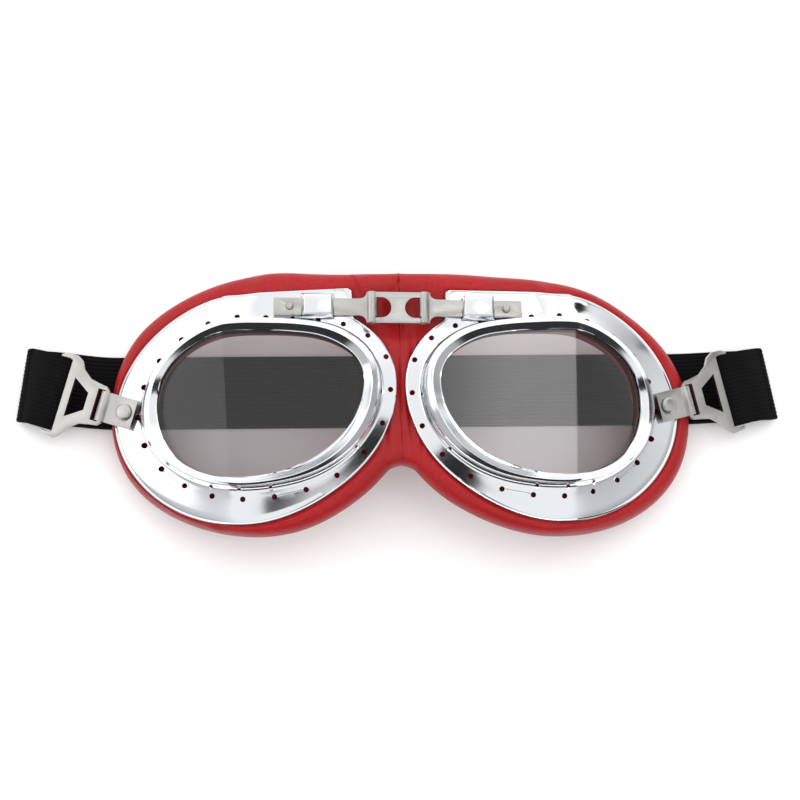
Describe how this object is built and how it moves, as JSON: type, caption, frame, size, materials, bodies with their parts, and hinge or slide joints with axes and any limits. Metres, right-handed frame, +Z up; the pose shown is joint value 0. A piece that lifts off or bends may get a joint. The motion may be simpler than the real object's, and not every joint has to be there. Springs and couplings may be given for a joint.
{
  "type": "motorcycle goggles",
  "caption": "Split-bridge riding goggles with chromed cups, creased tinted lenses, leather face cushions and an elastic strap on hook buckles.",
  "frame": {"origin": "middle of the strap's underside, on the surface the goggles lie on", "axes": "+Z up out of the lenses, +Y towards the wearer's brow, +X towards the wearer's left"},
  "size_m": [0.2615, 0.0882, 0.042],
  "materials": {
    "chrome": "mirror chrome plating",
    "satin_nickel": "satin nickel plating",
    "tinted_lens": "clear gloss, light grey tint",
    "red_leather": "smooth semi-gloss grained leather",
    "black_elastic": "matt ribbed woven elastic",
    "black_plastic": "matt moulded"
  },
  "bodies": {
    "bridge": {"bridge_link": "satin_nickel", "strap_middle": "black_elastic"},
    "left_cup": {"left_frame_plate": "chrome", "left_lens_bezel": "chrome", "left_lens": "tinted_lens", "left_retainer_ring": "black_plastic", "left_cushion": "red_leather", "left_bridge_arm": "satin_nickel", "left_arm_keeper": "chrome", "left_arm_rivet": "satin_nickel", "left_tab_rivet": "satin_nickel", "left_strap_run": "black_elastic"},
    "left_tab": {"left_side_tab": "satin_nickel"},
    "left_buckle": {"left_buckle": "satin_nickel", "left_strap_end": "black_elastic"},
    "right_cup": {"right_frame_plate": "chrome", "right_lens_bezel": "chrome", "right_lens": "tinted_lens", "right_retainer_ring": "black_plastic", "right_cushion": "red_leather", "right_bridge_arm": "satin_nickel", "right_arm_keeper": "chrome", "right_arm_rivet": "satin_nickel", "right_tab_rivet": "satin_nickel", "right_strap_run": "black_elastic"},
    "right_tab": {"right_side_tab": "satin_nickel"},
    "right_buckle": {"right_buckle": "satin_nickel", "right_strap_end": "black_elastic"}
  },
  "joints": [
    {"name": "left_cup_hinge", "type": "hinge", "parent": "bridge", "child": "left_cup", "pos_m": [0.008, 0.02193, 0.0349], "axis": [-0.0192, -0.9998, 0], "range_deg": [-6, 20]},
    {"name": "left_tab_swivel", "type": "hinge", "parent": "left_cup", "child": "left_tab", "pos_m": [0.09216, -0.00883, 0.01607], "axis": [0.3483, -0.0085, 0.9373], "range_deg": [-36, 4]},
    {"name": "left_buckle_tip", "type": "hinge", "parent": "left_tab", "child": "left_buckle", "pos_m": [0.09996, -0.00671, 0.01432], "axis": [0.2411, -0.9655, -0.0984], "range_deg": [0, 55]},
    {"name": "right_cup_hinge", "type": "hinge", "parent": "bridge", "child": "right_cup", "pos_m": [-0.0094, 0.02227, 0.0349], "axis": [0.0192, 0.9998, 0], "range_deg": [-6, 20]},
    {"name": "right_tab_swivel", "type": "hinge", "parent": "right_cup", "child": "right_tab", "pos_m": [-0.0922, -0.00955, 0.01607], "axis": [0.3481, 0.0158, -0.9373], "range_deg": [-40, 0]},
    {"name": "right_buckle_tip", "type": "hinge", "parent": "right_tab", "child": "right_buckle", "pos_m": [-0.09987, -0.00696, 0.01439], "axis": [0.2932, 0.9479, 0.1249], "range_deg": [0, 55]}
  ]
}
